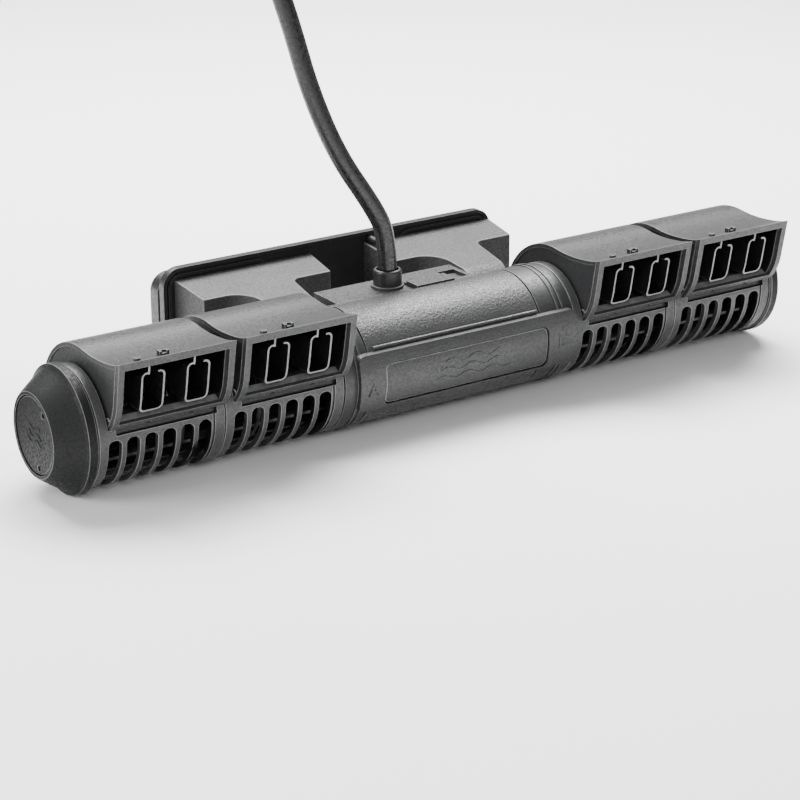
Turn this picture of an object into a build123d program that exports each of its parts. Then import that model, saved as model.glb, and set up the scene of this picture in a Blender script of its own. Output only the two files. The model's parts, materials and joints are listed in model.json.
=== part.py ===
from build123d import *
import math
import os

# Aquarium wave maker pump: a horizontal tube with a motor housing in the middle, a cross-flow
# rotor and two turnable cages on each side, and a magnetic mount behind it.
# The solids are drawn about the tube's axis (X along the tube, -Y out of the outlets, +Z up)
# and shifted once, on writing, so that the part stands on its lowest face at the origin.

# ---- driving dimensions, mm ----
TUBE_R = 24.0
TUBE_WALL = 2.4
RING_R = 25.0
GAP = 0.35
MODULE_PITCH = 52.87
SCOOP_WIDTH = 48.44
SCOOP_STARTS = (-159.65, -106.78, 58.3, 111.17)
GRILLE_LEAD = 4.2
GRILLE_LENGTH = 52.4
BORE_R = TUBE_R - TUBE_WALL

SCOOP_R = 31.4
LIP = (-33.7, 33.4)
LOWER_LIP = (-24.4, 5.3)
FRONT_KNEE = (-30.6, 17.0)
BEZEL_DEPTH = 2.0
BEZEL_SIDE = 2.5
ROOF = 2.8
SIDE_RECESS = 0.6
SIDE_RIM = 1.7
SIDE_WALL = 3.4
PIP_X = 9.2
CATCH_X = 20.5
ROOF_MARK_Y = -30.0

SLOT_COUNT = 6
SLOT_PITCH = 7.5
SLOT_WIDTH = 5.4
SLOT_FIRST = -0.6
SLOT_END_R = 2.3
FRONT_SLOT_TOP = 0.8
BACK_SLOT_TOP = -8.0
SPINE_HALF = 3.2
JOINT_SLOT = (2.8, 44.8, 2.6, 5.3)
JOINT_SLOT_DEPTH = 1.6
COLLAR_GROOVE = 43.0

HOUSING_LEFT = -58.0
HOUSING_RIGHT = 53.7
SLEEVE_LEFT = -46.5
SLEEVE_RIGHT = 37.6
HOUSING_WALL = 3.0
END_GROOVE = 0.8
RIDGE_ANGLE = 148.5
RIDGE_LEFT = -43.0
BAND_LEFT = -52.2
BAND_TOP = 11.6
BAND_BOTTOM = -11.3
PANEL_LEFT = -40.1
PANEL_RIGHT = 38.4
PANEL_HEIGHT = 16.4
PANEL_Z = -1.6
PANEL_GAP = 0.4

SHAFT_R = 1.5
BUSH_BORE_R = 1.55
WELL_R = 8.6
WELL_BORE_R = 7.7
MAGNET_R = 7.0
ROTOR_R = 19.4

CAP_RING = 4.2
LEFT_CAP_TIP = 14.6
RIGHT_CAP_TIP = 6.6
CAP_DISC_R = 14.8

ARM_CENTRES = (-45.7, 46.9)
ARM_BLOCK = 65.4
ARM_TOP = 22.0
ARM_SLOPE = 0.086
ARM_SLANT = 3.0
ARM_FRONT = 49.5
STEM_LEFT = -12.0
STEM_RIGHT = 11.0
STEM_NARROWING = 6.0
PLATE_FRONT = 74.0
PLATE_FLANGE = 2.2
PLATE_BACK = 79.2
PLATE_HALF = 82.0
PLATE_X = -2.0
PLATE_TOP = 27.0
PLATE_BOTTOM = -25.0
PLATE_RIM = 1.4
PLATE_CORNER = 8.0
BOSS_INSET = 3.5
TRACK_CENTRES = (-57.8, 55.0)
PIN_X = 16.6
PAD = 1.0
GLASS = 8.0
DRY_THICK = 7.7
DRY_FRONT = PLATE_BACK + PAD + GLASS
DRY_BACK = DRY_FRONT + PAD + DRY_THICK
DRY_HALF = 78.0
DRY_TOP = 19.0
MAGNET_HALF_WIDTH = 19.0
MAGNET_X = 53.0
MAGNET_HALF_HEIGHT = 15.0

CABLE_R = 3.9
CABLE_PLAY = 0.6
GLAND_X = -13.5
GLAND_Y = 13.6
GLAND_R = 5.8
GLAND_TOP = 31.0
FLANGE_R = 6.7
FLANGE_THICK = 1.4
PAD_Z = 23.2
COIL_CENTRE = (-205.0, 116.0)
COIL_MID_R = 35.0
COIL_TURNS = 3
TIE_WIDTH = 5.0
TIE_THICK = 0.8
PLUG_R = 7.4
PLUG_NECK_R = 5.0
PLUG_LENGTH = 33.0
COIL_TURN = 2 * CABLE_R

# The shift from the tube's axis to the part's own origin.
LEFT_END = SCOOP_STARTS[0] - GRILLE_LEAD - GAP - LEFT_CAP_TIP
RIGHT_END = SCOOP_STARTS[-1] - GRILLE_LEAD + GRILLE_LENGTH + GAP + RIGHT_CAP_TIP
AXIS_X = -(LEFT_END + RIGHT_END) / 2
AXIS_Y = -(LIP[0] + DRY_BACK) / 2
AXIS_Z = -PLATE_BOTTOM
PLACE = Location((AXIS_X, AXIS_Y, AXIS_Z))

# The cable's corners from the gland to the coil, chosen by hand, about the tube's axis.
CABLE_ROUTE = [
    (-13.5, 13.6, 31.0),
    (-13.6, 13.6, 45.0),
    (-19.8, 14.4, 58.0),
    (-34.0, 17.5, 80.0),
    (-44.0, 21.5, 107.0),
    (-49.5, 26.0, 134.0),
    (-56.5, 31.5, 161.0),
    (-71.0, 39.0, 186.0),
    (-95.0, 49.0, 200.0),
    (-121.0, 59.5, 196.0),
    (-142.5, 67.0, 175.0),
    (-155.0, 71.5, 145.0),
    (-160.5, 74.0, 112.0),
    (-163.0, 74.5, 79.0),
    (-165.0, 74.0, 48.0),
    (-172.5, 73.5, 20.0),
    (-188.5, 73.2, -2.0),
    (-211.0, 73.2, -13.3),
]

# The short stretch from the coil's lowest turn to the plug, which lies on the surface.
TAIL_ROUTE = [
    (-200.0, 71.8, -21.1),
    (-213.0, 66.4, -21.1),
    (-224.0, 58.4, -21.1),
    (-231.0, 47.4, -21.1),
]

os.makedirs("parts", exist_ok=True)
LOW = (Align.CENTER, Align.CENTER, Align.MIN)
nodes = {}


def keep(name, shape):
    """Store a finished sub-part under its node name."""
    nodes[name] = shape


def along_x(radius, x0, x1, y=0.0, z=0.0):
    """A cylinder along X between two stations."""
    disc = Plane.YZ * Pos(y, z) * Circle(radius)
    return extrude(Pos(x0, 0, 0) * disc, amount=x1 - x0, dir=(1, 0, 0))


def tube_x(radius, bore, x0, x1):
    """A plain tube along X."""
    return along_x(radius, x0, x1) - along_x(bore, x0 - 1, x1 + 1)


def prism_x(face, x0, x1):
    """Extrude a YZ outline along X."""
    return extrude(Pos(x0, 0, 0) * (Plane.YZ * face), amount=x1 - x0, dir=(1, 0, 0))


def block(x0, x1, y0, y1, z0, z1):
    """An axis-aligned box from its limits."""
    middle = Pos((x0 + x1) / 2, (y0 + y1) / 2, (z0 + z1) / 2)
    return middle * Box(x1 - x0, y1 - y0, z1 - z0)


def polar(radius, degrees):
    """A point of the YZ section: 0 degrees is +Y, 90 degrees is +Z."""
    angle = math.radians(degrees)
    return (radius * math.cos(angle), radius * math.sin(angle))


def soften(shape, edges, radius):
    """Fillet the given edges, or leave them sharp where the radius doesn't fit."""
    for size in (radius, radius * 0.6):
        try:
            rounded = fillet(edges, size)
        except Exception:
            continue
        if rounded.is_valid:
            return rounded
    return shape


# ---- cage module: scoop shell, bezel, grille and vanes ----

def front_edge(back=0.0):
    """The curved front of the scoop, from the top lip down to the lower lip."""
    lip = (LIP[0] + back, LIP[1])
    knee = (FRONT_KNEE[0] + back, FRONT_KNEE[1])
    low = (LOWER_LIP[0] + back, LOWER_LIP[1])
    slant = (knee[0] - lip[0], knee[1] - lip[1])
    return [Line(lip, knee), TangentArc(knee, low, tangent=slant)]


def scoop_outline(inset=0.0):
    """The S-shaped roof, the crown about the tube's axis and the tuck at the back."""
    radius = SCOOP_R - inset
    crown_start = polar(radius, 98)
    crown_end = polar(radius, 14)
    lip = (LIP[0], LIP[1] - inset)
    dip = (-20.8, 30.9 - inset)
    heading = (math.cos(math.radians(8)), math.sin(math.radians(8)))
    roof = Spline(lip, dip, crown_start, tangents=[(1.0, -0.36), heading])
    crown = ThreePointArc(crown_start, polar(radius, 56), crown_end)
    down = (math.sin(math.radians(14)), -math.cos(math.radians(14)))
    tuck = TangentArc(crown_end, polar(TUBE_R - inset, -13.5), tangent=down)
    return [roof, crown, tuck]


def scoop_face():
    """The whole side of the scoop, down to the tube's axis."""
    outline = Curve() + scoop_outline() + front_edge()
    outline += Line(LOWER_LIP, (0, 0))
    outline += Line((0, 0), polar(TUBE_R, -13.5))
    return make_face(outline)


def passage_face(inset):
    """The water passage inside the scoop, open at the front above the slanted sill."""
    lip_inner = (LIP[0], LIP[1] - inset)
    far_top = (-46.0, lip_inner[1] + 0.36 * 12.3)
    sill_back = (-22.2, 9.7)
    far_bottom = (-46.0, -2.7)
    outline = Curve() + scoop_outline(inset)
    outline += Polyline(lip_inner, far_top, far_bottom, sill_back, (0, 0), polar(TUBE_R - inset, -13.5))
    return make_face(outline)


def ahead_face(back):
    """Everything in front of the front edge, moved back by the given depth."""
    lip = (LIP[0] + back, LIP[1])
    low = (LOWER_LIP[0] + back, LOWER_LIP[1])
    outline = Curve() + front_edge(back)
    top = (lip[0] - 1.6, LIP[1] + 9)
    outline += Polyline(lip, top, (-60, LIP[1] + 9), (-60, low[1] - 6), (low[0] + 6, low[1] - 6), low)
    return make_face(outline)


def scoop_shell(start):
    """The flow director: a hollow roof with two recessed side walls and a raised rim."""
    end = start + SCOOP_WIDTH
    shell = prism_x(scoop_face(), start, end)
    shell -= prism_x(ahead_face(BEZEL_DEPTH), start - 1, end + 1)
    shell -= prism_x(passage_face(ROOF), start + SIDE_WALL, end - SIDE_WALL)
    recess = passage_face(SIDE_RIM)
    recess -= ahead_face(BEZEL_DEPTH + 1.2)
    groove = ahead_face(BEZEL_DEPTH + 0.55)
    for x0, x1 in ((start - 1, start + SIDE_RECESS), (end - SIDE_RECESS, end + 1)):
        shell -= prism_x(recess, x0, x1)
    for x0, x1 in ((start - 1, start + 0.7), (end - 0.7, end + 1)):
        shell -= prism_x(groove, x0, x1)
    shell -= along_x(BORE_R - 0.1, start - 1, end + 1)
    pip = Pos(start + PIP_X, ROOF_MARK_Y, 30) * Cylinder(1.3, 3.6, align=LOW)
    catch = block(start + CATCH_X - 2, start + CATCH_X + 2, ROOF_MARK_Y, ROOF_MARK_Y + 2.6, 30, 33.9)
    catch -= block(start + CATCH_X - 1, start + CATCH_X + 1, ROOF_MARK_Y - 1, ROOF_MARK_Y + 1.4, 33.0, 35)
    return shell + pip + catch


def outlet_bezel(start):
    """The frame round the outlet, with two small notches in its lower edge."""
    end = start + SCOOP_WIDTH
    bezel = prism_x(scoop_face() & ahead_face(BEZEL_DEPTH), start, end)
    bezel -= prism_x(passage_face(ROOF), start + BEZEL_SIDE, end - BEZEL_SIDE)
    for middle in (15.6, 33.6):
        x = start + middle
        notch = Polyline((x - 2, 4.9), (x + 2, 4.9), (x, 6.5), close=True)
        cut = extrude(Plane.XZ * make_face(notch), amount=40, dir=(0, -1, 0))
        bezel -= cut
    return bezel


def vane_pair(start):
    """Two thin rounded ducts that straighten the outflow, open at the top and hung on stems."""
    vanes = []
    trim = prism_x(passage_face(ROOF), start, start + SCOOP_WIDTH)
    trim -= prism_x(ahead_face(0.9), start - 1, start + SCOOP_WIDTH + 1)
    trim -= along_x(BORE_R + 0.4, start, start + SCOOP_WIDTH)
    for middle in (14.9, 33.6):
        x = start + middle
        outer = RectangleRounded(9.8, 16.6, 2.2)
        inner = RectangleRounded(8.2, 15.0, 1.5)
        ring = Pos(x, 19.4) * (outer - inner)
        ring -= Pos(x + 0.2, 27.4) * Rectangle(3.4, 3.0)
        ring += Pos(x - 1.9, 28.8) * Rectangle(0.8, 4.4)
        duct = extrude(Plane.XZ * ring, amount=40, dir=(0, -1, 0)) & trim
        vanes += duct.solids()
    return Compound(children=vanes)


def slot_cut(x, top, heading):
    """One slot from its rounded top down through the tube's wall, in front of or behind the spine."""
    outline = Pos(x, top - 20) * RectangleRounded(SLOT_WIDTH, 40, SLOT_END_R)
    cut = extrude(Plane.XZ * outline, amount=40, dir=(0, heading, 0))
    return Pos(0, heading * SPINE_HALF, 0) * cut


def intake_grille(start):
    """The slotted lower half of the cage, with a full ring at one end and a plain collar at the other."""
    left = start - GRILLE_LEAD
    right = left + GRILLE_LENGTH
    cage = tube_x(TUBE_R, BORE_R, left, right)
    sector = make_face(Polyline((0, 0), polar(60, 168), polar(60, 110), polar(60, 40), polar(60, -13.9),
                                close=True))
    cage -= prism_x(sector, start - GAP, right + 1)
    slot_left, slot_right, slot_low, slot_high = JOINT_SLOT
    groove = block(start + slot_left, start + slot_right, -40, -15, slot_low, slot_high)
    cage -= groove - along_x(TUBE_R - JOINT_SLOT_DEPTH, left, right)
    for k in range(SLOT_COUNT):
        x = start + SLOT_FIRST + SLOT_WIDTH / 2 + k * SLOT_PITCH
        cage -= slot_cut(x, FRONT_SLOT_TOP, -1)
        cage -= slot_cut(x, BACK_SLOT_TOP, 1)
    groove_x = start + COLLAR_GROOVE
    return cage - tube_x(TUBE_R + 1, TUBE_R - 0.6, groove_x, groove_x + 0.8)


def build_modules():
    """Four identical modules, moved along the tube."""
    pieces = {
        "flow_director": scoop_shell(0),
        "outlet_bezel": outlet_bezel(0),
        "outlet_vanes": vane_pair(0),
        "intake_grille": intake_grille(0),
    }
    for number, start in enumerate(SCOOP_STARTS, 1):
        for piece, shape in pieces.items():
            keep(f"{piece}_{number}", Pos(start, 0, 0) * shape)


# ---- motor housing ----

def housing_sleeve():
    """The textured sleeve, with a flat pad at the top rear for the cable gland."""
    sleeve = along_x(TUBE_R, SLEEVE_LEFT, SLEEVE_RIGHT)
    sleeve += block(-42, 24, 6.5, 24, 10, PAD_Z)
    sleeve -= block(-46, 30, 4, 30, PAD_Z, 30)
    sleeve -= block(-9.2, -4.4, 5.2, 26, PAD_Z - 1.2, 30)
    sleeve -= block(14.0, 22.0, 8.0, 18, PAD_Z - 1.6, 30)
    sleeve += block(-4.4, 14.0, 5.4, 13.6, PAD_Z - 3, PAD_Z + 0.9)
    sleeve -= along_x(TUBE_R - HOUSING_WALL, SLEEVE_LEFT - 1, SLEEVE_RIGHT + 1)
    left_end = (SLEEVE_LEFT - 1, SLEEVE_LEFT + END_GROOVE)
    right_end = (SLEEVE_RIGHT - END_GROOVE, SLEEVE_RIGHT + 1)
    for x0, x1 in (left_end, right_end):
        sleeve -= tube_x(TUBE_R + 1, TUBE_R - END_GROOVE, x0, x1)
    ridge_y, ridge_z = polar(TUBE_R, RIDGE_ANGLE)
    sleeve += prism_x(Pos(ridge_y, ridge_z) * Circle(0.8), RIDGE_LEFT, SLEEVE_RIGHT - 2 * END_GROOVE)
    hole = Pos(GLAND_X, GLAND_Y, 0) * Cylinder(CABLE_R + CABLE_PLAY, 60, align=LOW)
    return sleeve - hole


def housing_collar(x0, x1, rings):
    """An end collar of the housing, with thin raised rings."""
    collar = tube_x(TUBE_R, TUBE_R - HOUSING_WALL, x0, x1)
    for x in rings:
        collar += tube_x(TUBE_R + 0.5, TUBE_R - 1, x, x + 0.8)
    return collar


def front_band():
    """The raised plate across the front of the housing, with a pocket for the panel."""
    face = Curve() + ThreePointArc((-23.6, 13.0), (-26.2, 0.5), (-23.6, -12.0))
    face += Polyline((-23.6, -12.0), (-15, -8), (-15, 9), (-23.6, 13.0))
    right = HOUSING_RIGHT - 0.2
    band = prism_x(make_face(face), BAND_LEFT, right)
    middle = Pos((BAND_LEFT + right) / 2, (BAND_TOP + BAND_BOTTOM) / 2)
    outline = Plane.XZ * middle * RectangleRounded(right - BAND_LEFT, BAND_TOP - BAND_BOTTOM, 2.6)
    band &= extrude(outline, amount=60, dir=(0, -1, 0))
    band -= along_x(TUBE_R, -60, 60)
    return band - panel_prism(PANEL_GAP, TUBE_R + 0.9)


def panel_prism(margin, bore):
    """The panel's rounded outline, carried forward from a cylinder about the tube's axis."""
    width = PANEL_RIGHT - PANEL_LEFT + 2 * margin
    height = PANEL_HEIGHT + 2 * margin
    outline = Pos((PANEL_LEFT + PANEL_RIGHT) / 2, PANEL_Z) * RectangleRounded(width, height, 2.4)
    return extrude(Plane.XZ * outline, amount=60, dir=(0, -1, 0)) - along_x(bore, -60, 60)


def label_panel():
    """The plain panel set into the front band."""
    return panel_prism(0, TUBE_R + 0.9) & along_x(TUBE_R + 1.7, -60, 60)


def build_housing():
    sleeve = housing_sleeve()
    collars = [
        housing_collar(HOUSING_LEFT, SLEEVE_LEFT, (-50.4, -52.6)),
        housing_collar(SLEEVE_RIGHT, HOUSING_RIGHT, (46.2, 48.6)),
    ]
    keep("motor_housing", sleeve)
    keep("housing_collar_left", collars[0])
    keep("housing_collar_right", collars[1])
    keep("front_band", front_band() - collars[0] - collars[1] - sleeve)
    keep("label_panel", label_panel())
    seat = Pos(GLAND_X, GLAND_Y, PAD_Z)
    bore = seat * Pos(0, 0, -1) * Cylinder(CABLE_R + CABLE_PLAY, 20, align=LOW)
    keep("gland_flange", seat * Cylinder(FLANGE_R, FLANGE_THICK, align=LOW) - bore)
    collar_height = GLAND_TOP - PAD_Z - FLANGE_THICK
    collar = seat * Pos(0, 0, FLANGE_THICK) * Cylinder(GLAND_R, collar_height, align=LOW)
    rim = collar.edges().filter_by(GeomType.CIRCLE).sort_by(Axis.Z)[-1:]
    keep("cable_gland", fillet(rim, 1.1) - bore)


# ---- motors and rotors, mirrored left and right ----

def stator_core(x0, x1):
    """A laminated ring with six inward teeth round the rotor well."""
    core = tube_x(TUBE_R - HOUSING_WALL - 0.3, 17.2, x0, x1)
    for k in range(6):
        tooth = prism_x(Pos(13.6, 0) * Rectangle(8.4, 4.0), x0, x1)
        core += Rot(60 * k, 0, 0) * tooth
    return core - along_x(WELL_R + 0.2, x0 - 1, x1 + 1)


def stator_coils(x0, x1):
    """Six windings, one round each tooth, on a thin ring that joins their ends."""
    coils = tube_x(17.0, 10.2, x1 + 1.8, x1 + 2.6)
    for k in range(6):
        winding = prism_x(Pos(13.6, 0) * Rectangle(5.4, 7.4), x0 - 1.9, x1 + 1.9)
        winding -= prism_x(Pos(13.6, 0) * Rectangle(6.0, 4.1), x0 - 0.05, x1 + 0.05)
        coils += Rot(60 * k, 0, 0) * winding
    return coils


def rotor_well(face_x, side):
    """The wet cup that keeps water out of the stator; its flange closes the housing."""
    inward = -side
    flange = along_x(TUBE_R - HOUSING_WALL - 0.05, *sorted((face_x, face_x + inward * 2.4)))
    cup = along_x(WELL_R, *sorted((face_x, face_x + inward * 38)))
    bore = along_x(WELL_BORE_R, *sorted((face_x - inward, face_x + inward * 36)))
    return flange + cup - bore


def rotor_blades(x0, x1):
    """A cross-flow rotor: curved blades between end discs, on a hub with a short neck."""
    discs = along_x(ROTOR_R, x0, x0 + 2)
    for x in (x0 + 33, x0 + 66):
        discs += tube_x(ROTOR_R, 13.0, x, x + 1.6)
    discs += along_x(ROTOR_R, x1 - 2, x1)
    blade = Curve() + ThreePointArc((19.2, 0), (16.4, 2.4), (13.2, 3.2))
    blade += Line((13.2, 3.2), (13.0, 2.2))
    blade += ThreePointArc((13.0, 2.2), (15.9, 1.3), (18.6, -0.9))
    blade += Line((18.6, -0.9), (19.2, 0))
    vane = prism_x(make_face(blade), x0 + 1, x1 - 1)
    for k in range(12):
        discs += Rot(30 * k, 0, 0) * vane
    return discs


def build_drive(side, name):
    """One motor and rotor; side is +1 at the right and -1 at the left."""
    face_x = HOUSING_RIGHT if side > 0 else HOUSING_LEFT
    far_x = SCOOP_STARTS[-1] + SCOOP_WIDTH if side > 0 else SCOOP_STARTS[0] - GRILLE_LEAD
    inward = -side

    def span(a, b):
        return sorted((face_x + inward * a, face_x + inward * b))

    keep(f"rotor_well_{name}", rotor_well(face_x, side))
    keep(f"stator_core_{name}", stator_core(*span(7, 31)))
    keep(f"stator_coils_{name}", stator_coils(*span(7, 31)))
    keep(f"inner_bush_{name}", tube_x(WELL_BORE_R - 0.02, BUSH_BORE_R, *span(32, 36)))
    keep(f"rotor_magnet_{name}", tube_x(MAGNET_R, SHAFT_R, *span(4, 31)))
    start = face_x + side * 1.5
    end = far_x - side * 3.0
    blades = rotor_blades(*sorted((start, end)))
    blades += along_x(5.0, *span(-2, 4))
    blades -= along_x(SHAFT_R, -200, 200)
    keep(f"rotor_blades_{name}", blades)
    shaft_end = far_x + side * 4.0
    keep(f"rotor_shaft_{name}", along_x(SHAFT_R, *sorted((face_x + inward * 35.6, shaft_end))))


# ---- end caps ----

def revolve_x(points):
    """Turn an (x, radius) outline about the tube's axis."""
    return revolve(Plane.XZ * make_face(Polyline(*points, close=True)), Axis.X)


def cap_outline(at, tip):
    """Half the cap's section: the long cap is a cone to its tip, the short one a bevelled ring."""
    outline = [(at(0), 0), (at(0), RING_R - 0.7), (at(0.7), RING_R), (at(CAP_RING), RING_R)]
    if tip > 2 * CAP_RING:
        outline += [(at(CAP_RING + 0.5), RING_R - 0.9), (at(CAP_RING + 1.0), RING_R - 1.7)]
        outline += [(at(tip - 4.5), 19.9), (at(tip - 1.2), 17.6), (at(tip), 16.6)]
    else:
        outline += [(at(CAP_RING + 0.8), RING_R - 0.9), (at(tip), 21.8)]
    inset = CAP_DISC_R + 0.5
    return outline + [(at(tip), inset), (at(tip - 1.4), inset), (at(tip - 1.4), 0)]


def build_cap(side, name, tip):
    """An end cap: ring, tip, inset disc and the outer shaft bush."""
    last_grille = SCOOP_STARTS[-1] - GRILLE_LEAD + GRILLE_LENGTH
    first_grille = SCOOP_STARTS[0] - GRILLE_LEAD
    base = last_grille + GAP if side > 0 else first_grille - GAP

    def at(distance):
        return base + side * distance

    def span(a, b):
        return sorted((at(a), at(b)))

    solid = revolve_x(cap_outline(at, tip))
    back = tip - 3.4
    bush_end = min(5.4, tip - 2.2)
    step = at(min(4.6, back - 0.6))
    hollow = [(at(-1), 0), (at(-1), 21.2), (step, 21.2), (at(back), 13.6), (at(back), 0)]
    cap = solid - revolve_x(hollow)
    cap += along_x(5.6, *span(0, tip - 1.8))
    cap += tube_x(BORE_R - GAP, BORE_R - 2.0, *span(-3, min(5, tip - 2)))
    for k in range(3):
        rib = prism_x(Pos(12.5, 0) * Rectangle(16.0, 1.8), *span(2.5, tip - 2))
        cap += (Rot(120 * k + 30, 0, 0) * rib) & solid
    cap -= along_x(3.4, *span(-8, bush_end))
    keep(f"end_cap_{name}", cap)
    disc = along_x(CAP_DISC_R, *span(tip - 1.4, tip - 0.4))
    for y, z in ((-8.0, 10.0), (-2.4, -12.4)):
        disc -= along_x(1.1, *span(tip - 1.2, tip), y=y, z=z)
    keep(f"cap_disc_{name}", disc)
    keep(f"cap_bush_{name}", tube_x(3.4, BUSH_BORE_R, *span(0, bush_end)))


# ---- magnetic mount ----

def mount_arm(middle):
    """A T-shaped arm: a wide block on the plate and a narrowing stem that hugs the back of the housing."""
    left = middle - ARM_BLOCK / 2
    right = middle + ARM_BLOCK / 2
    stem_left = middle + STEM_LEFT
    stem_right = middle + STEM_RIGHT
    plan = Polyline((left, PLATE_FRONT), (left, ARM_FRONT), (stem_left, ARM_FRONT), (stem_left, 12),
                    (stem_right - STEM_NARROWING, 12), (stem_right, ARM_FRONT + 3),
                    (right - ARM_SLANT, ARM_FRONT + 3), (right, PLATE_FRONT), close=True)
    arm = extrude(make_face(plan), amount=ARM_TOP + 3, both=True)
    for x, y, radius in ((stem_left, ARM_FRONT, 11.0), (stem_right, ARM_FRONT + 3, 4.0)):
        upright = arm.edges().filter_by(Axis.Z)
        corner = upright.sort_by(lambda e: (e.center().X - x) ** 2 + (e.center().Y - y) ** 2)[:1]
        arm = fillet(corner, radius)
    return (arm & prism_x(arm_side(), left - 1, right + 1)) - along_x(TUBE_R, left - 1, right + 1)


def arm_side():
    """The arm seen from its side: it thins a little towards the tube and its nose is rounded."""
    nose_top = ARM_TOP - (PLATE_FRONT - 31) * ARM_SLOPE
    side = Curve() + Line((PLATE_FRONT, ARM_TOP), (31, nose_top))
    side += ThreePointArc((31, nose_top), (23.2, 15.2), (19.0, 8.5))
    side += Line((19.0, 8.5), (19.0, -8.5))
    side += ThreePointArc((19.0, -8.5), (23.2, -15.2), (31, -nose_top))
    side += Polyline((31, -nose_top), (PLATE_FRONT, -ARM_TOP), (PLATE_FRONT, ARM_TOP))
    return make_face(side)


def rounded_slab(x0, x1, z0, z1, y0, y1, radius):
    """A slab across the mount with rounded corners."""
    middle = Pos((x0 + x1) / 2, (z0 + z1) / 2)
    outline = Plane.XZ * middle * RectangleRounded(x1 - x0, z1 - z0, radius)
    return extrude(Pos(0, y0, 0) * outline, amount=y1 - y0, dir=(0, 1, 0))


def magnet_row(y0, y1):
    """Two block magnets, one behind each arm."""
    wide = MAGNET_HALF_WIDTH
    high = MAGNET_HALF_HEIGHT
    rows = [block(x - wide, x + wide, y0, y1, -high, high) for x in (-MAGNET_X, MAGNET_X)]
    return Compound(children=[solid for row in rows for solid in row.solids()])


def plate_slab(inset, y0, y1, radius):
    """The wet plate's outline, drawn in by an inset, as a slab."""
    return rounded_slab(PLATE_X - PLATE_HALF + inset, PLATE_X + PLATE_HALF - inset,
                        PLATE_BOTTOM + inset, PLATE_TOP - inset, y0, y1, radius)


def wet_plate(magnets):
    """The back plate: a thin rimmed flange, raised tracks round the arms and a boss for the magnets."""
    rim_front = PLATE_FRONT - PLATE_RIM
    flange_back = PLATE_FRONT + PLATE_FLANGE
    plate = plate_slab(0, rim_front, flange_back, PLATE_CORNER)
    plate -= plate_slab(PLATE_RIM, rim_front - 1, PLATE_FRONT, PLATE_CORNER - PLATE_RIM)
    plate += plate_slab(BOSS_INSET, flange_back, PLATE_BACK, PLATE_CORNER - BOSS_INSET)
    for x in TRACK_CENTRES:
        track = RectangleRounded(47.2, 46.0, 6) - RectangleRounded(44.8, 43.6, 4.8)
        placed = Pos(0, PLATE_FRONT, 0) * (Plane.XZ * Pos(x, 1.2) * track)
        plate += extrude(placed, amount=1.1, dir=(0, -1, 0))
    plate += Pos(PIN_X, PLATE_FRONT, ARM_TOP + 1.5) * Rot(90, 0, 0) * Cylinder(1.5, 9, align=LOW)
    for arm in ("left", "right"):
        plate -= nodes[f"mount_arm_{arm}"]
    return plate - magnets


def dry_shell(magnets):
    """The outside half's shell, with two grip recesses in its back."""
    shell = rounded_slab(-DRY_HALF, DRY_HALF, -DRY_TOP, DRY_TOP,
                         DRY_FRONT + PAD, DRY_BACK, PLATE_CORNER)
    shell = soften(shell, shell.faces().sort_by(Axis.Y)[-1].edges(), 1.8)
    for x in (-38.0, 38.0):
        grip = Plane.XZ * Pos(x, 0) * RectangleRounded(52, 26, 6)
        shell -= extrude(Pos(0, DRY_BACK - 1.0, 0) * grip, amount=3, dir=(0, 1, 0))
    return shell - magnets


def build_mount():
    for name, middle in zip(("left", "right"), ARM_CENTRES):
        arm = mount_arm(middle) - nodes["motor_housing"] - nodes[f"housing_collar_{name}"]
        keep(f"mount_arm_{name}", arm)
    wet_magnets = magnet_row(PLATE_FRONT + 1.0, PLATE_BACK)
    keep("wet_plate", wet_plate(wet_magnets))
    keep("wet_magnets", wet_magnets)
    keep("wet_pad", plate_slab(BOSS_INSET + 0.5, PLATE_BACK, PLATE_BACK + PAD, 4.0))
    dry_magnets = magnet_row(DRY_FRONT + PAD, DRY_FRONT + PAD + 4.6)
    keep("dry_shell", dry_shell(dry_magnets))
    keep("dry_magnets", dry_magnets)
    pad_half = DRY_HALF - 1
    pad_top = DRY_TOP - 1
    keep("dry_pad", rounded_slab(-pad_half, pad_half, -pad_top, pad_top, DRY_FRONT, DRY_FRONT + PAD, 7))


# ---- cable ----

def corner_radii(points):
    """The largest arc that each corner's two runs leave room for."""
    radii = []
    for a, b, c in zip(points, points[1:], points[2:]):
        run_in = Vector(*b) - Vector(*a)
        run_out = Vector(*c) - Vector(*b)
        turn = math.radians(run_in.get_angle(run_out))
        shorter = min(run_in.length, run_out.length)
        radii.append(0.45 * shorter / math.tan(turn / 2))
    return radii


def cable_tube(route, what):
    """A round tube along straight runs joined by tangent arcs."""
    radii = corner_radii(route)
    path = FilletPolyline(*route, radius=radii)
    tube = sweep(Plane(origin=route[0], z_dir=path % 0) * Circle(CABLE_R), path=path)
    print(what, "corner radii", [round(r, 1) for r in radii])
    print(what, "length", round(path.length, 1), "volume ratio",
          round(tube.volume / (math.pi * CABLE_R**2 * path.length), 4))
    return tube


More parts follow.
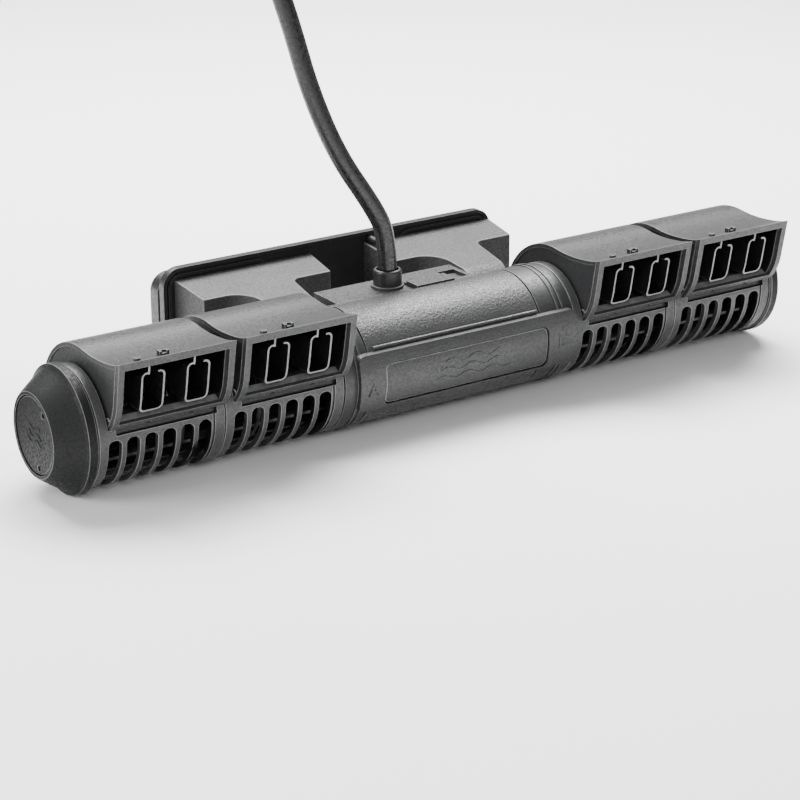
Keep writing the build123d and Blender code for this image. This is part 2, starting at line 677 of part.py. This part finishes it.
def build_cable():
    tube = cable_tube(CABLE_ROUTE, "cable")
    tail = cable_tube(TAIL_ROUTE, "cable_tail")
    wide = COIL_MID_R + COIL_TURNS / 2 * COIL_TURN
    narrow = COIL_MID_R - COIL_TURNS / 2 * COIL_TURN
    tall = 2 * COIL_TURN
    seat = Pos(*COIL_CENTRE, PLATE_BOTTOM)
    coil = seat * (Cylinder(wide, tall, align=LOW) - Cylinder(narrow, tall, align=LOW))
    loop = block(-TIE_WIDTH / 2, TIE_WIDTH / 2, narrow - TIE_THICK, wide + TIE_THICK, 0, tall + TIE_THICK)
    tie = seat * (loop - block(-TIE_WIDTH, TIE_WIDTH, narrow, wide, TIE_THICK, tall))
    keep("cable", tube)
    keep("cable_tail", tail)
    keep("cable_tie", tie)
    keep("cable_coil", coil - tie)
    end = Vector(*TAIL_ROUTE[-1])
    heading = (end - Vector(*TAIL_ROUTE[-2])).normalized()
    axis = Plane(origin=end, z_dir=heading)
    body = axis * Cylinder(PLUG_NECK_R, 6, align=LOW)
    body += axis * Pos(0, 0, 5) * Cylinder(PLUG_R - 1, 8, align=LOW)
    body += axis * Pos(0, 0, 12) * Cylinder(PLUG_R, 12, align=LOW)
    body += axis * Pos(0, 0, 23) * Cylinder(PLUG_R - 1.6, PLUG_LENGTH - 23, align=LOW)
    body -= axis * Pos(0, 0, 26) * Cylinder(PLUG_R - 2.8, PLUG_LENGTH, align=LOW)
    for k in range(4):
        pin = Rot(0, 0, 90 * k) * Pos(2.1, 0, 25) * Cylinder(0.5, 6, align=LOW)
        body += axis * pin
    keep("plug", Pos(0, 0, PLUG_R - CABLE_R) * body)


build_modules()
build_housing()
build_drive(-1, "left")
build_drive(1, "right")
build_cap(-1, "left", LEFT_CAP_TIP)
build_cap(1, "right", RIGHT_CAP_TIP)
build_mount()
build_cable()

for name, shape in nodes.items():
    export_step(PLACE * shape, f"parts/{name}.step")
print(len(nodes), "nodes")
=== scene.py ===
import json
import math

import bmesh
import bpy
from mathutils import Matrix, Vector


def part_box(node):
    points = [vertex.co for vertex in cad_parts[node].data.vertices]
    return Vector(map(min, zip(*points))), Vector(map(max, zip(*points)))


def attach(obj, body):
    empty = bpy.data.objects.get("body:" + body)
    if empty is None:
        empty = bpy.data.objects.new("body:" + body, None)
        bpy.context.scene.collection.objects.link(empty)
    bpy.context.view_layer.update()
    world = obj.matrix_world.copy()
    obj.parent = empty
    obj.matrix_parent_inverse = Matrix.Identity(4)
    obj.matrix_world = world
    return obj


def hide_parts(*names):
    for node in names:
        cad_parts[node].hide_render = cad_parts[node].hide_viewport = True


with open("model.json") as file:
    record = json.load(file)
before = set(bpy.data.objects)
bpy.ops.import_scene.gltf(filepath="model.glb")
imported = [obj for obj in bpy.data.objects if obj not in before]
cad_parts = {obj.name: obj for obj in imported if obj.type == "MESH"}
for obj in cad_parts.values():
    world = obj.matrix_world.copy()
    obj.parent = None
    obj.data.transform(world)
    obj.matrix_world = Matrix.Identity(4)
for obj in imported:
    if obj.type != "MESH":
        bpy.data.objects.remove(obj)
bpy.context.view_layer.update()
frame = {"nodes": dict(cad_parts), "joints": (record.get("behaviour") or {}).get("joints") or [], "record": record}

MM = 0.001
NODES = frame["nodes"]
JOINTS = {joint["name"]: joint for joint in frame["joints"]}
BODIES = frame["record"]["behaviour"]["bodies"]
BODY_OF = {node: body for body, nodes in BODIES.items() for node in nodes}
SLOT_OF = {entry["node"]: entry["material_slot"] for entry in frame["record"]["subparts"]}

# A point on the tube's axis, half way between the two rotors' joints.
AXIS = (Vector(JOINTS["rotor_left_spin"]["pos_m"])
        + Vector(JOINTS["rotor_right_spin"]["pos_m"])) / 2


def on_axis(x, y, z):
    """A point given in millimetres about the tube's axis, in the frame's metres."""
    return AXIS + Vector((x, y, z)) * MM


def linked(name, data):
    """A new object with this data, in the scene."""
    obj = bpy.data.objects.new(name, data)
    bpy.context.collection.objects.link(obj)
    return obj


# ---- camera, floor and light ----

CAMERA_AZIMUTH = math.radians(-34.64)
CAMERA_ELEVATION = math.radians(19.38)
CAMERA_DISTANCE = 1.00145
CAMERA_LENS = 111.08
CAMERA_SHIFT = (-0.04268, -0.07043)
SENSOR_WIDTH = 36.0
FLOOR_HALF_SIDE = 6.0
FLOOR_DROP = 0.4 * MM
PAPER_WHITE = 0.93
PAPER_ROUGHNESS = 0.9
SKY_STRENGTH = 0.34
LIGHT_TARGET = (0, 0, 0.03)
# Each light's place and size in metres, and its power in watts.
LIGHTS = {
    "top": ((0.25, 0.45, 0.95), (1.3, 0.6), 62),
    "front": ((-0.5, -1.1, 0.75), (0.9, 0.5), 8),
    "left": ((-1.1, 0.1, 0.45), (0.5, 0.5), 10),
}


def make_camera():
    data = bpy.data.cameras.new("camera")
    data.sensor_width = SENSOR_WIDTH
    data.lens = CAMERA_LENS
    data.shift_x, data.shift_y = CAMERA_SHIFT
    data.clip_start = 0.05
    data.clip_end = 20
    camera = linked("camera", data)
    flat = math.cos(CAMERA_ELEVATION)
    away = Vector((math.sin(CAMERA_AZIMUTH) * flat, -math.cos(CAMERA_AZIMUTH) * flat,
                   math.sin(CAMERA_ELEVATION)))
    camera.location = AXIS + away * CAMERA_DISTANCE
    camera.rotation_euler = (-away).to_track_quat("-Z", "Y").to_euler()
    bpy.context.scene.camera = camera


def area_light(name, place, size, power):
    data = bpy.data.lights.new(name, "AREA")
    data.shape = "RECTANGLE"
    data.size, data.size_y = size
    data.energy = power
    light = linked(name, data)
    light.location = place
    away = Vector(place) - Vector(LIGHT_TARGET)
    light.rotation_euler = away.to_track_quat("Z", "Y").to_euler()


def make_floor():
    mesh = bpy.data.meshes.new("floor")
    side = FLOOR_HALF_SIDE
    corners = [(-side, -side, 0), (side, -side, 0), (side, side, 0), (-side, side, 0)]
    mesh.from_pydata(corners, [], [(0, 1, 2, 3)])
    floor = linked("floor", mesh)
    floor.location.z = -FLOOR_DROP
    material = bpy.data.materials.new("floor_paper")
    material.use_nodes = True
    shader = material.node_tree.nodes["Principled BSDF"]
    shader.inputs["Base Color"].default_value = (PAPER_WHITE, PAPER_WHITE, PAPER_WHITE, 1)
    shader.inputs["Roughness"].default_value = PAPER_ROUGHNESS
    mesh.materials.append(material)


def make_studio():
    make_floor()
    world = bpy.data.worlds.new("studio")
    world.use_nodes = True
    sky = world.node_tree.nodes["Background"]
    sky.inputs["Color"].default_value = (1, 1, 1, 1)
    sky.inputs["Strength"].default_value = SKY_STRENGTH
    bpy.context.scene.world = world
    for name, (place, size, power) in LIGHTS.items():
        area_light(name, place, size, power)


# ---- cable: points in millimetres about the tube's axis, from the gland to the plug ----

CABLE_WIDTH = 7.8
CABLE_ROUTE = [
    (-13.5, 13.6, 27.0),
    (-13.5, 13.6, 45.0),
    (-19.8, 14.4, 58.0),
    (-34.0, 17.5, 80.0),
    (-44.0, 21.5, 107.0),
    (-49.5, 26.0, 134.0),
    (-56.5, 31.5, 161.0),
    (-71.0, 39.0, 186.0),
    (-95.0, 49.0, 200.0),
    (-121.0, 59.5, 196.0),
    (-142.5, 67.0, 175.0),
    (-155.0, 71.5, 145.0),
    (-160.5, 74.0, 112.0),
    (-163.0, 74.5, 79.0),
    (-165.0, 74.0, 48.0),
    (-172.5, 73.5, 20.0),
    (-188.5, 73.2, -2.0),
    (-207.0, 73.2, -12.3),
]
TAIL_ROUTE = [
    (-200.0, 71.8, -21.1),
    (-213.0, 66.4, -21.1),
    (-224.0, 58.4, -21.1),
    (-231.0, 47.4, -21.1),
]
COIL_CENTRE = (-205.0, 116.0)
COIL_RADII = (42.8, 35.0, 27.2)
COIL_LAYERS = (-13.3, -21.1)
POINTS_PER_TURN = 16
CROSSING = 0.2  # the last share of a turn, in which the cable crosses to the next one
COIL_START = 270  # degrees: the coil is entered at its front


def coil_points():
    """Three turns inward on the upper layer and three outward on the lower one, clockwise.

    The first point is left out, because the route into the coil already ends there.
    """
    upper, lower = COIL_LAYERS
    rings = [(r, upper) for r in COIL_RADII] + [(r, lower) for r in reversed(COIL_RADII)]
    points = []
    for turn, (radius, height) in enumerate(rings):
        next_radius, next_height = rings[min(turn + 1, len(rings) - 1)]
        for step in range(POINTS_PER_TURN):
            share = step / POINTS_PER_TURN
            change = max(0.0, (share - (1 - CROSSING)) / CROSSING)
            r = radius + (next_radius - radius) * change
            z = height + (next_height - height) * change
            angle = math.radians(COIL_START - 360 * share)
            x = COIL_CENTRE[0] + r * math.cos(angle)
            y = COIL_CENTRE[1] + r * math.sin(angle)
            points.append((x, y, z))
    return points[1:]


def make_cable():
    route = CABLE_ROUTE + coil_points() + TAIL_ROUTE
    curve = bpy.data.curves.new("cable_lead", "CURVE")
    curve.dimensions = "3D"
    spline = curve.splines.new("NURBS")
    spline.points.add(len(route) - 1)
    for point, place in zip(spline.points, route):
        point.co = (*on_axis(*place), 1.0)
        point.radius = CABLE_WIDTH / 2 * MM
    spline.order_u = 3
    spline.use_endpoint_u = True
    spline.resolution_u = 8
    curve.bevel_depth = 1.0
    curve.bevel_resolution = 8
    curve.use_fill_caps = True
    cable = linked("cable_lead", curve)
    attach(cable, "pump_body")
    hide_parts("cable", "cable_coil", "cable_tail")
    dress(cable, "cable_rubber")
    return cable


# ---- materials ----

CLOUD_SIZE = 14.0
CLOUD_STOPS = (0.3, 0.7)
# a noise that breaks up the painted highlight on marked edges
HIGHLIGHT_NOISE_SIZE = 3.0
HIGHLIGHT_NOISE_STOPS = (0.35, 0.6)
FAINTEST_HIGHLIGHT = 0.55
GRAIN_STOPS = (0.35, 0.62)  # where the fine noise goes from pits to tops, for colour
GLOSS_STOPS = (0.38, 0.62)  # and for gloss
PIT_TINT = 0.45
PIT_ROUGHER = 0.16
TOP_SMOOTHER = 0.12
SMOOTHEST = 0.05
# painted shade: the near-black colour put on faces inside ducts, bores and slots
INSIDE_PAINTED_SHADE = (0.0022, 0.0022, 0.0024)


class Recipe:
    """A material's node tree with short ways to add and join its nodes."""

    def __init__(self, name):
        self.material = bpy.data.materials.new(name)
        self.material.use_nodes = True
        self.tree = self.material.node_tree
        self.shader = self.tree.nodes["Principled BSDF"]
        self.place = self.tree.nodes.new("ShaderNodeTexCoord").outputs["Object"]

    def join(self, source, target):
        self.tree.links.new(source, target)

    def noise(self, size_mm, detail, rough):
        """A noise whose grains are about this size."""
        node = self.tree.nodes.new("ShaderNodeTexNoise")
        node.inputs["Scale"].default_value = 1.0 / (size_mm * MM)
        node.inputs["Detail"].default_value = detail
        node.inputs["Roughness"].default_value = rough
        self.join(self.place, node.inputs["Vector"])
        return node.outputs["Fac"]

    def ramp(self, source, low, high, places):
        """A two-stop ramp, each stop a grey or a colour."""
        node = self.tree.nodes.new("ShaderNodeValToRGB")
        for stop, value, place in zip(node.color_ramp.elements, (low, high), places):
            stop.position = place
            stop.color = (value, value, value, 1) if isinstance(value, float) else (*value, 1)
        self.join(source, node.inputs["Fac"])
        return node.outputs["Color"]

    def mix(self, factor, a, b, how="MIX"):
        """Mix two colours; each input is a socket or a constant."""
        node = self.tree.nodes.new("ShaderNodeMix")
        node.data_type = "RGBA"
        node.blend_type = how
        wanted = ((factor, "Factor", "VALUE"), (a, "A", "RGBA"), (b, "B", "RGBA"))
        for value, name, kind in wanted:
            socket = [i for i in node.inputs if i.name == name and i.type == kind][0]
            if isinstance(value, bpy.types.NodeSocket):
                self.join(value, socket)
            elif name == "Factor":
                socket.default_value = value
            else:
                socket.default_value = (*value, 1)
        return [o for o in node.outputs if o.type == "RGBA"][0]

    def attribute(self, name):
        node = self.tree.nodes.new("ShaderNodeAttribute")
        node.attribute_name = name
        return node.outputs["Fac"]

    def bump(self, source, strength, depth_mm):
        node = self.tree.nodes.new("ShaderNodeBump")
        node.inputs["Strength"].default_value = strength
        node.inputs["Distance"].default_value = depth_mm * MM
        self.join(source, node.inputs["Height"])
        return node.outputs["Normal"]


def moulded(name, colour, roughness, grain=0.7, depth=0.25, mottling=0.15, specular=0.5,
            edge=0.06, speck=0.3, pits=0.15):
    """Moulded plastic or rubber: fine grain, cloudy colour, a painted highlight on marked edges and painted shade
    on insides.

    The grain's size is in millimetres. Depth and pits are the strength and the millimetres of
    its bump, and speck is how much its pits darken the colour.
    """
    recipe = Recipe(name)
    shader = recipe.shader
    clouds = recipe.noise(CLOUD_SIZE, 5.0, 0.6)
    fine = recipe.noise(grain, 3.0, 0.6)
    highlight_noise = recipe.noise(HIGHLIGHT_NOISE_SIZE, 6.0, 0.7)
    darker = [c * (1 - mottling) for c in colour]
    paler = [c * (1 + mottling) for c in colour]
    tint = recipe.ramp(clouds, darker, paler, CLOUD_STOPS)
    grains = recipe.ramp(fine, PIT_TINT, 1.0, GRAIN_STOPS)
    body = recipe.mix(speck, tint, grains, "MULTIPLY")
    highlight_strength = recipe.ramp(highlight_noise, FAINTEST_HIGHLIGHT, 1.0, HIGHLIGHT_NOISE_STOPS)
    # painted highlight: faces in the edge layer are painted paler by edge, broken up by noise
    painted_highlight = recipe.mix(highlight_strength, body, [c + edge for c in colour])
    highlighted = recipe.mix(recipe.attribute("edge"), body, painted_highlight)
    # painted shade: the faces marked as insides take a near-black colour
    final = recipe.mix(recipe.attribute("painted_shade"), highlighted, INSIDE_PAINTED_SHADE)
    recipe.join(final, shader.inputs["Base Color"])
    in_pits = min(1.0, roughness + PIT_ROUGHER)
    on_tops = max(SMOOTHEST, roughness - TOP_SMOOTHER)
    recipe.join(recipe.ramp(fine, in_pits, on_tops, GLOSS_STOPS), shader.inputs["Roughness"])
    shader.inputs["Specular IOR Level"].default_value = specular
    recipe.join(recipe.bump(fine, depth, pits), shader.inputs["Normal"])
    return recipe.material


# The three plastics of the cages share one grain.
CAGE_GRAIN = dict(grain=0.9, depth=0.6, speck=0.6, pits=0.2)
# edge is how much paler the painted highlight on marked edges is
FINISHES = {
    "cage_plastic": dict(colour=(0.0205, 0.021, 0.022), roughness=0.42, edge=0.17, **CAGE_GRAIN),
    "bezel_plastic": dict(colour=(0.036, 0.0365, 0.038), roughness=0.45, edge=0.19, **CAGE_GRAIN),
    "grille_plastic": dict(colour=(0.042, 0.0425, 0.044), roughness=0.42, edge=0.17, **CAGE_GRAIN),
    "sleeve_plastic": dict(colour=(0.042, 0.0425, 0.0435), roughness=0.36, grain=1.0, depth=0.9,
                           edge=0.2, speck=0.8, pits=0.3),
    "housing_plastic": dict(colour=(0.022, 0.0225, 0.0235), roughness=0.42, grain=0.8,
                            depth=0.4, edge=0.10),
    "band_plastic": dict(colour=(0.031, 0.0315, 0.0325), roughness=0.4, grain=0.95, depth=0.8,
                         edge=0.22, speck=0.75, pits=0.25),
    "cap_plastic": dict(colour=(0.0075, 0.0078, 0.0083), roughness=0.55, grain=1.0, depth=0.7,
                        edge=0.13, speck=0.5, pits=0.2, specular=0.2),
    "well_plastic": dict(colour=(0.012, 0.012, 0.013), roughness=0.35),
    "rotor_plastic": dict(colour=(0.006, 0.006, 0.0065), roughness=0.4),
    "plate_plastic": dict(colour=(0.012, 0.0122, 0.013), roughness=0.4, grain=0.8, depth=0.3,
                          edge=0.08),
    "plug_plastic": dict(colour=(0.012, 0.012, 0.013), roughness=0.4, edge=0.05),
    "arm_rubber": dict(colour=(0.046, 0.0465, 0.0475), roughness=0.52, grain=1.0, depth=0.9,
                       edge=0.09, speck=0.9, pits=0.35),
    "gland_rubber": dict(colour=(0.01, 0.01, 0.011), roughness=0.4, edge=0.06),
    "cable_rubber": dict(colour=(0.007, 0.007, 0.0075), roughness=0.34, grain=1.2, depth=0.2),
    "tie_rubber": dict(colour=(0.012, 0.012, 0.012), roughness=0.6),
    "bush_rubber": dict(colour=(0.015, 0.015, 0.015), roughness=0.6),
    "pad_rubber": dict(colour=(0.014, 0.014, 0.0145), roughness=0.75, grain=1.1, depth=0.9,
                       specular=0.3),
    "core_steel": dict(colour=(0.28, 0.28, 0.29), roughness=0.4),
    "winding_copper": dict(colour=(0.5, 0.19, 0.07), roughness=0.3),
    "magnet_ferrite": dict(colour=(0.05, 0.05, 0.052), roughness=0.4),
    "shaft_ceramic": dict(colour=(0.72, 0.7, 0.67), roughness=0.22, edge=0.0),
}
MATERIALS = {name: moulded(name, **finish) for name, finish in FINISHES.items()}


def dress(obj, slot):
    obj.data.materials.clear()
    obj.data.materials.append(MATERIALS[slot])


# ---- pieces ----

BEVELLED = math.radians(33)  # edges that turn by more get a bevel
CREASED = math.radians(35)  # edges that turn by more stay sharp in the shading
FLAT = math.radians(0.4)  # faces that turn by less are joined
SHORTEST_EDGE = 0.02 * MM
SAME_POINT = 0.002 * MM
BEVEL_SHARES = (1.0, 0.7, 0.45, 0.25)
FOLD_LIMIT = 3.5
INNER_SHARE = 0.5  # the bevel of an inner edge, as a share of an outer edge's
BEVEL_SPREAD = 0.1 * MM
RIM_AHEAD = -0.45  # a rim's face looks forward when its normal's y is below this
SILL_AHEAD = -0.2  # a sill looks forward and up: its normal's y is below this
SILL_UP = 0.6  # and its z above this
# how strong the painted highlight on a sill that looks up and forward is
SILL_HIGHLIGHT = 0.9
SLOT_LOW, SLOT_HIGH = 2.5 * MM, 5.4 * MM  # the joint slot's height over the axis
SLOT_REACH = 23.7 * MM  # and how far from the axis it ends
OUTLET_CORE = Vector((0, -5, 14)) * MM  # the middle of an outlet duct, from the axis


def meshed(node, merge):
    """The CAD node's mesh in bmesh, with points nearer than this merged."""
    shape = bmesh.new()
    shape.from_mesh(NODES[node].data)
    bmesh.ops.remove_doubles(shape, verts=shape.verts, dist=merge)
    return shape


def round_edges(shape, width):
    """Bevel the sharp edges; the new faces on outer edges are marked in the "edge" layer, which gives them a
    painted highlight.
    """
    mark = shape.faces.layers.float.new("edge")
    for convex in (True, False):
        sharp = [e for e in shape.edges if len(e.link_faces) == 2
                 and e.calc_face_angle(0) > BEVELLED and e.is_convex == convex]
        size = width if convex else width * INNER_SHARE
        made = bmesh.ops.bevel(shape, geom=sharp, offset=size * MM, segments=2, profile=0.5,
                               affect="EDGES", clamp_overlap=False, miter_outer="ARC",
                               spread=BEVEL_SPREAD)
        for face in made["faces"]:
            face[mark] = 1.0 if convex else 0.0


def smooth(shape):
    """Smooth shading, with the creased edges kept sharp."""
    for face in shape.faces:
        face.smooth = True
    for edge in shape.edges:
        edge.smooth = len(edge.link_faces) == 2 and edge.calc_face_angle(0) < CREASED


def worst_fold(shape):
    """The largest area, in square millimetres, of one face's triangles that face backwards."""
    folds = {}
    for loops in shape.calc_loop_triangles():
        a, b, c = (loop.vert.co for loop in loops)
        normal = (b - a).cross(c - a)
        face = loops[0].face
        if normal.dot(face.normal) < 0:
            folds[face] = folds.get(face, 0.0) + normal.length / 2 / MM**2
    return max(folds.values(), default=0.0)


def rounded_shape(node, width):
    """The node's shape with the widest bevel that keeps folds below the limit.

    Where no bevel does, it is the node's plain mesh.
    """
    for share in BEVEL_SHARES:
        shape = meshed(node, SHORTEST_EDGE)
        bmesh.ops.dissolve_limit(shape, angle_limit=FLAT, verts=shape.verts, edges=shape.edges)
        round_edges(shape, width * share)
        shape.normal_update()
        if worst_fold(shape) < FOLD_LIMIT:
            return shape
        shape.free()
    shape = meshed(node, SAME_POINT)
    shape.faces.layers.float.new("edge")
    return shape


def in_joint_slot(place):
    """Whether a point about the tube's axis lies in the sunk slot under the outlet."""
    reach = math.hypot(place.y, place.z)
    return place.y < 0 and SLOT_LOW < place.z < SLOT_HIGH and reach < SLOT_REACH


def refined(node, width, core=None, rims=False, sill=False, groove=False):
    """A piece with the CAD node's shape, softly rounded edges, and its painted highlights and painted shade
    marked.

    Faces that look towards the core point get painted shade. With rims, only the faces that look
    forward get a painted highlight and all others get painted shade. With sill, the ledges that
    look up and forward get a painted highlight. With groove, the slot under the outlet gets painted shade.
    """
    shape = rounded_shape(node, width)
    painted_shade = shape.faces.layers.float.new("painted_shade")
    mark = shape.faces.layers.float["edge"]
    shape.normal_update()
    for face in shape.faces:
        # painted shade on faces that look towards the core
        if core is not None and face.normal.dot(face.calc_center_median() - core) < 0:
            face[painted_shade] = 1.0
        # rims: a painted highlight on forward faces, painted shade on all others
        if rims:
            ahead = face.normal.y < RIM_AHEAD
            face[mark] = 1.0 if ahead else 0.0
            face[painted_shade] = 0.0 if ahead else 1.0
        # a painted highlight on sills that look up and forward
        elif sill and face.normal.z > SILL_UP and face.normal.y < SILL_AHEAD:
            face[painted_shade] = 0.0
            face[mark] = SILL_HIGHLIGHT
        # painted shade in the slot under the outlet
        elif groove and in_joint_slot(face.calc_center_median() - AXIS):
            face[painted_shade] = 1.0
    smooth(shape)
    mesh = bpy.data.meshes.new(node + "_skin")
    shape.to_mesh(mesh)
    shape.free()
    piece = linked(node + "_skin", mesh)
    weigh = piece.modifiers.new("normals", "WEIGHTED_NORMAL")
    weigh.keep_sharp = True
    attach(piece, BODY_OF[node])
    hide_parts(node)
    dress(piece, SLOT_OF[node])
    return piece


def make_skins():
    """Every outside node gets its refined piece, and the pieces on the cable are returned.

    The cable is a curve of its own. The pads and what is hidden inside keep their CAD meshes.
    """
    for k in range(1, 5):
        low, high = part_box(f"outlet_bezel_{k}")
        middle = (low.x + high.x) / 2
        tube_core = Vector((middle, AXIS.y, AXIS.z))
        refined(f"flow_director_{k}", 0.26, tube_core + OUTLET_CORE, sill=True)
        refined(f"outlet_bezel_{k}", 0.35)
        refined(f"outlet_vanes_{k}", 0.15, rims=True)
        refined(f"intake_grille_{k}", 0.26, tube_core, groove=True)
    for side in ("left", "right"):
        refined(f"housing_collar_{side}", 0.2)
        refined(f"mount_arm_{side}", 0.7)
        refined(f"end_cap_{side}", 0.35)
        refined(f"cap_disc_{side}", 0.25)
    refined("motor_housing", 0.25)
    refined("front_band", 0.5)
    refined("label_panel", 0.35)
    refined("gland_flange", 0.3)
    refined("cable_gland", 0.3)
    refined("wet_plate", 0.4)
    refined("dry_shell", 0.5)
    return [refined("plug", 0.3), refined("cable_tie", 0.3)]


# ---- moulded marks: plain wave lines and the two position letters ----

PANEL_FACE_R = 25.7
DISC_FACE_X = -178.4
LETTER_FACE_Y = -26.0
LETTER_HEIGHT = 5.2
CAPITAL_SHARE = 0.7  # a capital's height as a share of its text size
LETTERS = {"A": (-46.0, -2.6), "B": (45.4, -0.6)}
RELIEF = 0.22
LETTER_DEPTH = 1.5 * RELIEF  # to each side of the band's face
ROOT = -0.1  # how far a wave's rib reaches into the face it stands on
TIP_WIDTH = 0.25  # a rib's width at its ends, as a share of its full width
TOP_WIDTH = 0.6  # and the width of its top
WAVE_STEPS = 48


def on_panel(x, z, lift):
    """A point over the label panel, which is part of a cylinder about the tube's axis."""
    return on_axis(x, -math.sqrt((PANEL_FACE_R + lift) ** 2 - z * z), z)


def on_disc(y, z, lift):
    """A point over the left cap's disc."""
    return on_axis(DISC_FACE_X - lift, -y, z)


def wave_line(u0, u1, v0, height, length):
    """The middle of a wavy line that runs along u."""
    run = [u0 + (u1 - u0) * k / WAVE_STEPS for k in range(WAVE_STEPS + 1)]
    return [(u, v0 + height * math.sin(math.tau * (u - u0) / length)) for u in run]


def raised_line(line, width, place):
    """The corners and faces of a narrow raised rib with tapering ends along the line."""
    corners = []
    for k, (u, v) in enumerate(line):
        before = line[max(k - 1, 0)]
        after = line[min(k + 1, len(line) - 1)]
        run = math.hypot(after[0] - before[0], after[1] - before[1])
        across = (-(after[1] - before[1]) / run, (after[0] - before[0]) / run)
        share = k / (len(line) - 1)
        half = width / 2 * (TIP_WIDTH + (1 - TIP_WIDTH) * math.sin(math.pi * share))
        profile = ((1.0, ROOT), (TOP_WIDTH, RELIEF), (-TOP_WIDTH, RELIEF), (-1.0, ROOT))
        for side, lift in profile:
            off = half * side
            corners.append(place(u + across[0] * off, v + across[1] * off, lift))
    faces = [(0, 1, 2, 3)]
    for k in range(len(line) - 1):
        for a, b in ((0, 1), (1, 2), (2, 3), (3, 0)):
            faces.append((4 * k + a, 4 * k + 4 + a, 4 * k + 4 + b, 4 * k + b))
    last = 4 * (len(line) - 1)
    faces.append((last + 3, last + 2, last + 1, last))
    return corners, faces


def add_mark(name, mesh, node):
    """Put a mark on a CAD node, in that node's own material."""
    shape = bmesh.new()
    shape.from_mesh(mesh)
    bmesh.ops.recalc_face_normals(shape, faces=shape.faces)
    shape.to_mesh(mesh)
    shape.free()
    piece = linked(name, mesh)
    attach(piece, BODY_OF[node])
    dress(piece, SLOT_OF[node])


def wave_mark(name, lines, width, place, node):
    """Raised wave lines in one piece, on a CAD node."""
    corners = []
    faces = []
    for line in lines:
        more, sides = raised_line(line, width, place)
        faces += [tuple(i + len(corners) for i in side) for side in sides]
        corners += more
    mesh = bpy.data.meshes.new(name)
    mesh.from_pydata(corners, [], faces)
    add_mark(name, mesh, node)


def letter_mark(letter, x, z):
    """A raised letter on the front band."""
    text = bpy.data.curves.new("letter_" + letter, "FONT")
    text.body = letter
    text.size = LETTER_HEIGHT / CAPITAL_SHARE * MM
    text.align_x = "CENTER"
    text.align_y = "CENTER"
    text.extrude = LETTER_DEPTH * MM
    holder = linked("letter_" + letter, text)
    graph = bpy.context.evaluated_depsgraph_get()
    mesh = bpy.data.meshes.new_from_object(holder.evaluated_get(graph))
    bpy.data.objects.remove(holder)
    bpy.data.curves.remove(text)
    upright = Matrix.Rotation(math.radians(90), 4, "X")
    mesh.transform(Matrix.Translation(on_axis(x, LETTER_FACE_Y, z)) @ upright)
    add_mark("mark_" + letter, mesh, "front_band")


def make_marks():
    """Three waves on the panel and three on the disc, each shorter and higher than the last."""
    panel = [wave_line(-16.0 + 2 * k, 20.0 - 3 * k, -4.6 + 3.4 * k, 0.9, 12.0)
             for k in range(3)]
    wave_mark("panel_waves", panel, 0.9, on_panel, "label_panel")
    disc = [wave_line(-7.5 + k, 7.5 - k, -2.4 + 2.6 * k, 0.8, 7.5) for k in range(3)]
    wave_mark("disc_waves", disc, 0.8, on_disc, "cap_disc_left")
    for letter, (x, z) in LETTERS.items():
        letter_mark(letter, x, z)


make_camera()
make_studio()
cable = make_cable()
for name, node in NODES.items():
    dress(node, SLOT_OF[name])
on_cable = make_skins()
make_marks()
